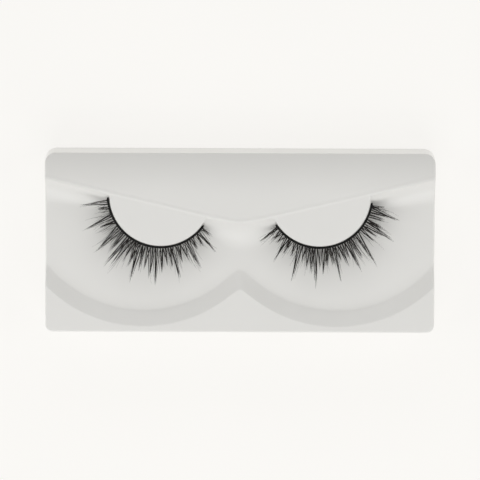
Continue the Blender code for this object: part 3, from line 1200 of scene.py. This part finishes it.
@dataclass(frozen=True)
class StripPath:
    """The line that a strip follows round its lobe.

    Attributes:
        side: The side of the tray.
        lobe: The lobe's edge.
        outer_angle: The angle about the lobe of the strip's outer end.
        inner_angle: The angle of its inner end.
        radius: The radius of the band's line.
        height: The height of that line.
        end_lift: How far the outer end is bent up.
        lift_reach: The length of band that it is bent over.
    """

    side: Side
    lobe: Lobe
    outer_angle: float
    inner_angle: float
    radius: float = 14.32 * MM
    height: float = 11.1 * MM
    end_lift: float = 0.0
    lift_reach: float = 2.5 * MM

    @property
    def length(self) -> float:
        """The strip's length along its band, in metres."""
        return self.radius * abs(self.inner_angle - self.outer_angle)

    def angle(self, place: float) -> float:
        """Return the angle about the lobe of a place, 0 at the outer end and 1 at the inner."""
        return mix(self.outer_angle, self.inner_angle, place)

    def point(self, radius: float, angle: float, z: float) -> np.ndarray:
        """Return the point at this radius, angle and height about the strip's own lobe."""
        spot = self.lobe.point(radius, angle)
        return np.array((self.side.value * spot.x, spot.y, z))

    def lift(self, place: float) -> float:
        """Return how far the outer end is bent up at a place, clear of the sheet."""
        return self.end_lift * max(0.0, 1.0 - place * self.length / self.lift_reach) ** 2

    def heading(self, angle: float) -> np.ndarray:
        """Return the level direction at this angle out of the lobe."""
        return np.array((self.side.value * math.cos(angle), math.sin(angle), 0.0))


@dataclass
class LashBand:
    """The strip's cotton band: three waxed plies twisted round each other.

    Attributes:
        path: The line that the strip follows.
        plies: The number of plies.
        ply_radius: The radius of a ply.
        ply_offset: How far a ply's centre lies from the band's.
        pitch: The length of a full twist.
        steps_per_turn: The points of a ply in a full twist.
        end_taper: The length over which the band narrows at each end.
    """

    path: StripPath
    plies: int = 3
    ply_radius: float = 0.185 * MM
    ply_offset: float = 0.165 * MM
    pitch: float = 1.5 * MM
    steps_per_turn: int = 14
    end_taper: float = 0.5 * MM

    def build(self) -> bpy.types.Object:
        """Build the plies as one mesh.

        Returns:
            The band.
        """
        bundle = TubeBundle(8)
        turns = self.path.length / self.pitch
        count = int(turns * self.steps_per_turn)
        places = np.linspace(0.0, 1.0, count)
        ends = np.minimum(places, 1.0 - places) * self.path.length / self.end_taper
        taper = np.sqrt(np.clip(ends, 0.0, 1.0) * 0.75 + 0.25)
        for ply in range(self.plies):
            start = 2 * math.pi * ply / self.plies
            line = []
            for place, share in zip(places, taper):
                twist = start + 2 * math.pi * turns * place
                radius = self.path.radius + self.ply_offset * share * math.cos(twist)
                z = self.path.height + self.path.lift(place) + self.ply_offset * share * math.sin(twist)
                line.append(self.path.point(radius, self.path.angle(place), z))
            bundle.add(np.array(line), self.ply_radius * taper)
        return bundle.build("lash_thread_" + self.path.side.label)

    def dress(self, band: bpy.types.Object, material: bpy.types.Material) -> None:
        """Give the band its finish and its place in the part.

        Args:
            band: The band.
            material: Its finish.
        """
        band.data.materials.append(material)
        register(band, Slot.BAND_COTTON, "lash_band_" + self.path.side.label)


@dataclass(frozen=True)
class StrandSort:
    """A sort of strand, a few hairs that run side by side.

    Attributes:
        hairs: The number of its hairs.
        thickness: Their share of the usual thickness.
        shortest: The shortest strand, as a share of its reach.
        longest: The longest strand, as a share of its reach.
        lean: How far such a strand leans from its direction.
    """

    hairs: int
    thickness: float
    shortest: float
    longest: float
    lean: float = 0.0


@dataclass
class LashFringe:
    """The strip's fringe: strands knotted to the band that draw together into locks.

    Attributes:
        path: The line that the strip follows.
        locks: The spikes of the fringe.
        seed: The start of its random numbers.
        full_length: The length of a lock whose share is one.
        rise: How far a hair's tip curls up, as a share of its length.
        root_height: The height of the knots.
        root_drop: How far a hair dips before it curls up.
        hair_radius: The radius of a hair of the usual thickness.
        tip_radius: The radius of its tip.
        knot_spacing: The distance between knots along the band.
        bare_end: How much of the band is bare at each end.
        strand_spread: How far the hairs of a strand lie apart.
        gather: How far to each side a lock draws its strands from.
        tip_spread: How far the strands of a lock still lie apart at its tip.
        core: The long strands in a lock's middle.
        flank: The shorter strands at its sides.
        fill: The fine strands between the locks.
        short: The short strands that cross near the band.
        fills: The number of fine strands.
        shorts: The number of short strands.
        end_limits: How far the loose strands may point past the band's outer and inner end.
        root_inset: How far inside the band's line the hairs start.
        binder_height: The height of the glued root line.
        binder_radius: Its radius.
        binder_offset: How far outside the band's line it runs.
        binder_taper: The length over which it narrows at each end.
        binder_points: The points along it.
        sections: The points along each hair.
    """

    path: StripPath
    locks: tuple[Lock, ...]
    seed: int
    full_length: float = 11.4 * MM
    rise: float = 0.31
    root_height: float = 10.95 * MM
    root_drop: float = 0.35 * MM
    hair_radius: float = 0.048 * MM
    tip_radius: float = 0.008 * MM
    knot_spacing: float = 0.68 * MM
    bare_end: float = 0.75 * MM
    strand_spread: float = 0.06 * MM
    gather: float = 1.1 * MM
    tip_spread: float = 0.16 * MM
    core: StrandSort = StrandSort(4, 1.0, 0.8, 1.02)
    flank: StrandSort = StrandSort(3, 0.95, 0.5, 0.92)
    fill: StrandSort = StrandSort(1, 0.6, 0.65, 1.2, math.radians(6.0))
    short: StrandSort = StrandSort(1, 0.85, 0.16, 0.46, math.radians(24.0))
    fills: int = 130
    shorts: int = 75
    end_limits: tuple[float, float] = (math.radians(-3.0), math.radians(12.0))
    root_inset: float = 0.1 * MM
    binder_height: float = 10.62 * MM
    binder_radius: float = 0.24 * MM
    binder_offset: float = 0.03 * MM
    binder_taper: float = 0.8 * MM
    binder_points: int = 90
    sections: int = 11

    def knot(self, offset: float) -> float:
        """Find the knot nearest to a distance from the band's outer end.

        Args:
            offset: The distance.

        Returns:
            The knot's place along the band, from 0 to 1.
        """
        nearest = round(offset / self.knot_spacing) * self.knot_spacing
        room = self.bare_end
        return min(max(nearest, room), self.path.length - room) / self.path.length

    def root(self, place: float) -> np.ndarray:
        """Return the point that the hairs of a place along the band grow from."""
        height = self.root_height + self.path.lift(place)
        return self.path.point(self.path.radius - self.root_inset, self.path.angle(place), height)

    def add_strand(
        self,
        bundle: TubeBundle,
        line: np.ndarray,
        draw: np.random.Generator,
        sort: StrandSort,
    ) -> None:
        """Add the hairs of one strand, which dip from their knot and then curl up.

        Args:
            bundle: The bundle that they join.
            line: The strand's points, seen from above.
            draw: The random numbers.
            sort: What sort of strand it is.
        """
        steps = np.arange(len(line))
        shares = steps / steps[-1]
        across = unit(np.cross(line[-1] - line[0], UP))
        for _ in range(sort.hairs):
            places = steps * draw.uniform(0.8, 1.0)
            hair = np.stack([np.interp(places, steps, line[:, axis]) for axis in range(3)], axis=1)
            hair += across * draw.normal(0.0, self.strand_spread)
            length = np.linalg.norm(hair[-1] - hair[0])
            hair[:, 2] += self.rise * length * shares**2 - self.root_drop * shares
            radius = self.hair_radius * sort.thickness * draw.uniform(0.8, 1.15)
            bundle.add(hair, radius * (1.0 - shares**2.4) + self.tip_radius, draw.uniform(0.0, 0.8))

    def add_lock(self, bundle: TubeBundle, lock: Lock, draw: np.random.Generator) -> None:
        """Add the strands of one lock, which draw together towards its tip.

        Args:
            bundle: The bundle that they join.
            lock: The lock.
            draw: The random numbers.
        """
        angle = self.path.angle(lock.place)
        foot = self.path.point(self.path.radius, angle, self.root_height)
        out = self.path.heading(angle - math.radians(lock.lean))
        across = np.array((-out[1], out[0], 0.0))
        reach = self.full_length * lock.length
        width = self.gather * (0.45 + 0.55 * lock.length)
        shares = np.linspace(0.0, 1.0, self.sections)
        cores = 2 + round(2 * lock.length)
        for number in range(cores + 2 + round(3 * lock.length)):
            sort = self.core if number < cores else self.flank
            root = self.root(self.knot(lock.place * self.path.length + draw.uniform(-width, width)))
            aside = (root - foot).dot(across)
            ahead = (root - foot).dot(out)
            far = ahead + (reach * draw.uniform(sort.shortest, sort.longest) - ahead) * shares
            drawn = np.clip(1.0 - (far - ahead) / (1.1 * reach), 0.0, 1.0) ** 1.4
            sway = draw.normal(0.0, self.tip_spread) * shares**1.3
            line = foot + out * far[:, None] + across * (aside * drawn + sway)[:, None]
            line[:, 2] = root[2]
            self.add_strand(bundle, line, draw, sort)

    def add_loose(
        self,
        bundle: TubeBundle,
        draw: np.random.Generator,
        sort: StrandSort,
        reach: float,
        place: float,
    ) -> None:
        """Add one strand that belongs to no lock.

        Args:
            bundle: The bundle that it joins.
            draw: The random numbers.
            sort: What sort of strand it is.
            reach: The length that its shares are of.
            place: Where along the band it grows.
        """
        angle = self.path.angle(place) + draw.normal(0.0, sort.lean)
        angle = min(angle, self.path.outer_angle + self.end_limits[0])
        out = self.path.heading(max(angle, self.path.inner_angle - self.end_limits[1]))
        across = np.array((-out[1], out[0], 0.0))
        length = reach * draw.uniform(sort.shortest, sort.longest)
        shares = np.linspace(0.0, 1.0, self.sections)
        bow = draw.normal(0.0, 0.05) * length * np.sin(math.pi * shares)
        line = self.root(place) + out * (length * shares)[:, None] + across * bow[:, None]
        self.add_strand(bundle, line, draw, sort)

    def build(self) -> bpy.types.Object:
        """Build all the hairs of the strip as one mesh.

        Returns:
            The fringe.
        """
        draw = np.random.default_rng(self.seed)
        bundle = TubeBundle(5)
        places = [lock.place for lock in self.locks]
        lengths = [lock.length for lock in self.locks]
        for lock in self.locks:
            self.add_lock(bundle, lock, draw)
        for _ in range(self.fills):
            place = self.knot(draw.uniform(0.0, self.path.length))
            reach = self.full_length * float(np.interp(place, places, lengths))
            self.add_loose(bundle, draw, self.fill, reach, place)
        for _ in range(self.shorts):
            place = self.knot(draw.uniform(0.0, self.path.length))
            self.add_loose(bundle, draw, self.short, self.full_length, place)
        return bundle.build("lash_fringe_" + self.path.side.label)

    def build_binder(self) -> bpy.types.Object:
        """Build the glued root line that the hairs grow out of, under the band.

        Returns:
            The root line.
        """
        bundle = TubeBundle(8)
        places = np.linspace(0.0, 1.0, self.binder_points)
        radius = self.path.radius + self.binder_offset
        line = []
        for place in places:
            height = self.binder_height + self.path.lift(place)
            line.append(self.path.point(radius, self.path.angle(place), height))
        ends = np.minimum(places, 1.0 - places) * self.path.length / self.binder_taper
        radii = self.binder_radius * np.sqrt(np.clip(ends, 0.04, 1.0))
        bundle.add(np.array(line), radii)
        return bundle.build("lash_binder_" + self.path.side.label)

    def dress(
        self,
        fringe: bpy.types.Object,
        binder: bpy.types.Object,
        fibre: bpy.types.Material,
        thread: bpy.types.Material,
    ) -> None:
        """Give the hairs and their root line their finishes and their place in the part.

        Args:
            fringe: The hairs.
            binder: The root line.
            fibre: The hairs' finish.
            thread: The root line's finish.
        """
        fringe.data.materials.append(fibre)
        register(fringe, Slot.LASH_FIBRE, "lash_hair_" + self.path.side.label)
        binder.data.materials.append(thread)
        register(binder, Slot.LASH_FIBRE)


@dataclass(frozen=True)
class SoftLight:
    """An area light of the studio, by where it stands and what it points at."""

    name: str
    place: tuple[float, float, float]
    size: tuple[float, float]
    power: float
    colour: Colour = (1.0, 1.0, 1.0)
    aim: tuple[float, float, float] = (0.0, 0.0, 0.01)

    def build(self) -> None:
        """Add the light to the scene."""
        light = bpy.data.lights.new(self.name, "AREA")
        light.shape = "RECTANGLE"
        light.size, light.size_y = self.size
        light.energy = self.power
        light.color = self.colour
        lamp = bpy.data.objects.new(self.name, light)
        lamp.location = self.place
        lamp.rotation_euler = (Vector(self.aim) - Vector(self.place)).to_track_quat("-Z", "Y").to_euler()
        bpy.context.scene.collection.objects.link(lamp)


@dataclass
class Studio:
    """The pale floor, the soft light and the camera.

    Attributes:
        floor_size: The length of the floor's sides.
        floor_gap: How far the floor lies under the tray's rim.
        distance: How far the camera stands from what it points at.
        tilt: How far it is tipped from straight down.
        roll: How far it is turned about its own axis.
        aim: The point that it points at.
        lens: Its focal length, in millimetres.
        ambient: The strength of the light from all round.
        lights: The softboxes.
    """

    floor_size: float = 4.0
    floor_gap: float = 0.02 * MM
    distance: float = 1.0
    tilt: float = math.radians(7.5)
    roll: float = math.radians(0.22)
    aim: tuple[float, float, float] = (0.0, 0.85 * MM, 11.0 * MM)
    lens: float = 275.9
    ambient: float = 0.30
    lights: tuple[SoftLight, ...] = (
        SoftLight("front_softbox", (0.0, -0.90, 0.62), (1.2, 0.5), 3.4),
        SoftLight("overhead_softbox", (0.0, -0.70, 1.0), (1.2, 0.6), 3.0),
        SoftLight("back_softbox", (0.0, 0.95, 0.40), (1.2, 0.3), 2.45),
        SoftLight("left_softbox", (-0.95, 0.0, 0.45), (0.6, 1.0), 3.1),
        SoftLight("right_softbox", (0.95, 0.0, 0.45), (0.6, 1.0), 2.85),
    )

    def build(self, floor_material: bpy.types.Material) -> None:
        """Build the floor, the lights and the camera.

        Args:
            floor_material: The floor's finish.
        """
        half = self.floor_size / 2
        corners = np.array([(-half, -half, 0.0), (half, -half, 0.0), (half, half, 0.0), (-half, half, 0.0)])
        floor = new_piece("paper_floor", corners - UP * self.floor_gap, [[0, 1, 2, 3]])
        floor.data.materials.append(floor_material)
        for light in self.lights:
            light.build()
        world = bpy.data.worlds.new("studio_air")
        world.use_nodes = True
        back = world.node_tree.nodes["Background"]
        back.inputs["Color"].default_value = (1.0, 0.995, 0.985, 1.0)
        back.inputs["Strength"].default_value = self.ambient
        bpy.context.scene.world = world
        bpy.context.scene.view_settings.view_transform = "Standard"
        self.build_camera()

    def build_camera(self) -> None:
        """Stand the camera over the tray, tipped towards its back edge."""
        camera = bpy.data.cameras.new("camera")
        camera.sensor_width = 36.0
        camera.lens = self.lens
        camera.clip_start = 0.05
        camera.clip_end = 20.0
        holder = bpy.data.objects.new("camera", camera)
        turn = Matrix.Rotation(-self.tilt, 4, "X") @ Matrix.Rotation(self.roll, 4, "Z")
        back = Vector((0.0, math.sin(self.tilt), math.cos(self.tilt)))
        holder.matrix_world = Matrix.Translation(Vector(self.aim) + back * self.distance) @ turn
        bpy.context.scene.collection.objects.link(holder)
        bpy.context.scene.camera = holder


def main() -> None:
    """Build and dress every piece, in order."""
    logging.basicConfig(level=logging.INFO, format="%(message)s")
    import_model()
    effects = Effects()
    sheet = SheetFinish().build(effects)
    thread = ThreadFinish().build(effects)
    fibre = FibreFinish().build(effects)
    Studio().build(FloorFinish().build(effects))
    lobe = Lobe()
    tray = TrayShell(lobe)
    tray.dress(tray.build(), sheet)
    left = StripPath(Side.LEFT, lobe, math.radians(-2.7), math.radians(-144.6), end_lift=0.6 * MM)
    right = StripPath(Side.RIGHT, lobe, math.radians(-7.6), math.radians(-146.0))
    for fringe in (LashFringe(left, LEFT_LOCKS, seed=11), LashFringe(right, RIGHT_LOCKS, seed=23)):
        band = LashBand(fringe.path)
        band.dress(band.build(), thread)
        fringe.dress(fringe.build(), fringe.build_binder(), fibre, thread)


if __name__ == "__main__":
    main()
